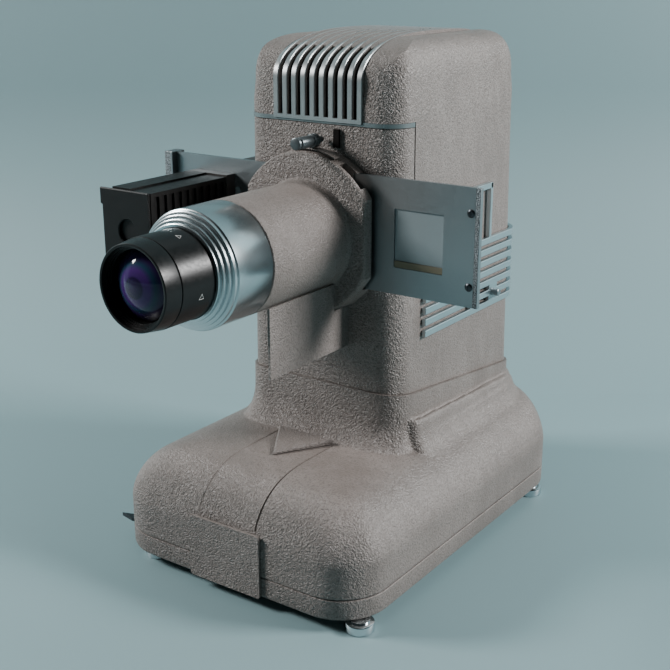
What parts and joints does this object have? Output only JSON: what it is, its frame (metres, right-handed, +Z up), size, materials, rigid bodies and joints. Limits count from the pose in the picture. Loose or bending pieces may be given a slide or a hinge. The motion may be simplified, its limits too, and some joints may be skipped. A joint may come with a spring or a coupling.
{
  "type": "slide projector",
  "caption": "Upright slide projector: wide rounded base on feet, tall vented lamp house, long lens tube, sliding carrier plate and side magazine, grey wrinkle enamel.",
  "frame": {"origin": "centre of the bounding box at the floor, under the middle of the object", "axes": "+Z up, the lens points along -Y, +X is the side of the lamp pin and of the open slide window"},
  "size_m": [0.285, 0.4014, 0.4],
  "materials": {
    "wrinkle_enamel": "taupe grey wrinkle enamel",
    "smooth_enamel": "taupe grey fine enamel",
    "chrome": "polished",
    "satin_steel": "satin blue grey",
    "dark_steel": "dark knurled",
    "black_metal": "satin black",
    "black_plastic": "satin black",
    "coated_glass": "violet coated",
    "clear_glass": "clear",
    "ochre_card": "matte",
    "aluminium": "satin",
    "copper": "varnished winding",
    "core_iron": "laminated core",
    "ceramic": "matte",
    "brass": "turned"
  },
  "bodies": {
    "root": {"aperture_plate": "black_metal", "base_housing": "wrinkle_enamel", "base_plate": "wrinkle_enamel", "chamber_floor": "satin_steel", "condenser_lens_front": "clear_glass", "condenser_lens_rear": "clear_glass", "condenser_mount": "black_metal", "foot_front_left": "chrome", "foot_front_right": "chrome", "foot_rear_left": "chrome", "foot_rear_right": "chrome", "front_cover_plate": "wrinkle_enamel", "front_panel": "wrinkle_enamel", "head_flange": "wrinkle_enamel", "heat_filter": "coated_glass", "index_wedge": "smooth_enamel", "knob_stop_blade": "black_metal", "lamp_bracket": "satin_steel", "lamp_house_shell": "wrinkle_enamel", "leaf_spring": "dark_steel", "lens_tube": "smooth_enamel", "magazine_guide": "black_plastic", "power_inlet": "black_plastic", "reflector": "aluminium", "side_grille_left": "satin_steel", "side_grille_right": "satin_steel", "switch_pivot": "brass", "transformer_core": "core_iron", "transformer_winding": "copper", "trim_strip": "chrome", "tube_side_plate": "smooth_enamel"},
    "lens": {"lens_barrel": "black_metal", "lens_front_ring": "black_metal", "front_lens": "coated_glass", "rear_lens": "coated_glass"},
    "focus_collar": {"focus_ring": "chrome"},
    "slide_carrier": {"carrier_plate": "satin_steel", "carrier_grip_left": "dark_steel", "carrier_grip_right": "dark_steel", "carrier_screw_high": "chrome", "carrier_screw_low": "chrome", "slide_left": "clear_glass", "slide_middle": "clear_glass", "slide_right": "clear_glass", "slide_strip_left": "ochre_card", "slide_strip_right": "ochre_card"},
    "magazine": {"magazine_body": "black_plastic", "magazine_front_plate": "black_metal", "magazine_slides": "ochre_card"},
    "knob": {"lock_knob": "dark_steel"},
    "lid": {"vent_lid": "smooth_enamel", "vent_bars": "chrome"},
    "lamp_mount": {"lamp_carriage": "aluminium", "lamp_socket": "ceramic", "lamp_bulb": "clear_glass"},
    "lamp_pin": {"lamp_adjust_pin": "chrome"},
    "power_lever": {"switch_lever": "dark_steel"}
  },
  "joints": [
    {"name": "focus_turn", "type": "hinge", "parent": "root", "child": "focus_collar", "pos_m": [0.0025, -0.12735, 0.2556], "axis": [0, -1, 0], "range_deg": [-90, 90]},
    {"name": "lens_slide", "type": "slide", "parent": "root", "child": "lens", "axis": [0, -1, 0], "range_m": [-0.0096, 0.0096]},
    {"name": "carrier_slide", "type": "slide", "parent": "root", "child": "slide_carrier", "axis": [1, 0, 0], "range_m": [-0.0913, 0]},
    {"name": "magazine_slide", "type": "slide", "parent": "root", "child": "magazine", "axis": [0, -1, 0], "range_m": [0, 0.06]},
    {"name": "knob_turn", "type": "hinge", "parent": "root", "child": "knob", "pos_m": [0.0083, -0.02035, 0.326], "axis": [0, -1, 0], "range_deg": [0, 90]},
    {"name": "lid_lift", "type": "slide", "parent": "root", "child": "lid", "axis": [0, 0, 1], "range_m": [0, 0.06]},
    {"name": "lamp_turn", "type": "hinge", "parent": "root", "child": "lamp_pin", "pos_m": [0.0785, 0.14115, 0.1873], "axis": [1, 0, 0], "range_deg": [-60, 60]},
    {"name": "lamp_lift", "type": "slide", "parent": "root", "child": "lamp_mount", "axis": [0, 0, 1], "range_m": [-0.0026, 0.0026]},
    {"name": "lever_swing", "type": "hinge", "parent": "root", "child": "power_lever", "pos_m": [-0.0985, -0.08635, 0.016], "axis": [0, 0, 1], "range_deg": [-8, 8]}
  ],
  "couplings": [
    {"joint": "lens_slide", "follows": "focus_turn", "m_per_rad": 0.006},
    {"joint": "lamp_turn", "follows": "lamp_lift", "rad_per_m": 400}
  ]
}
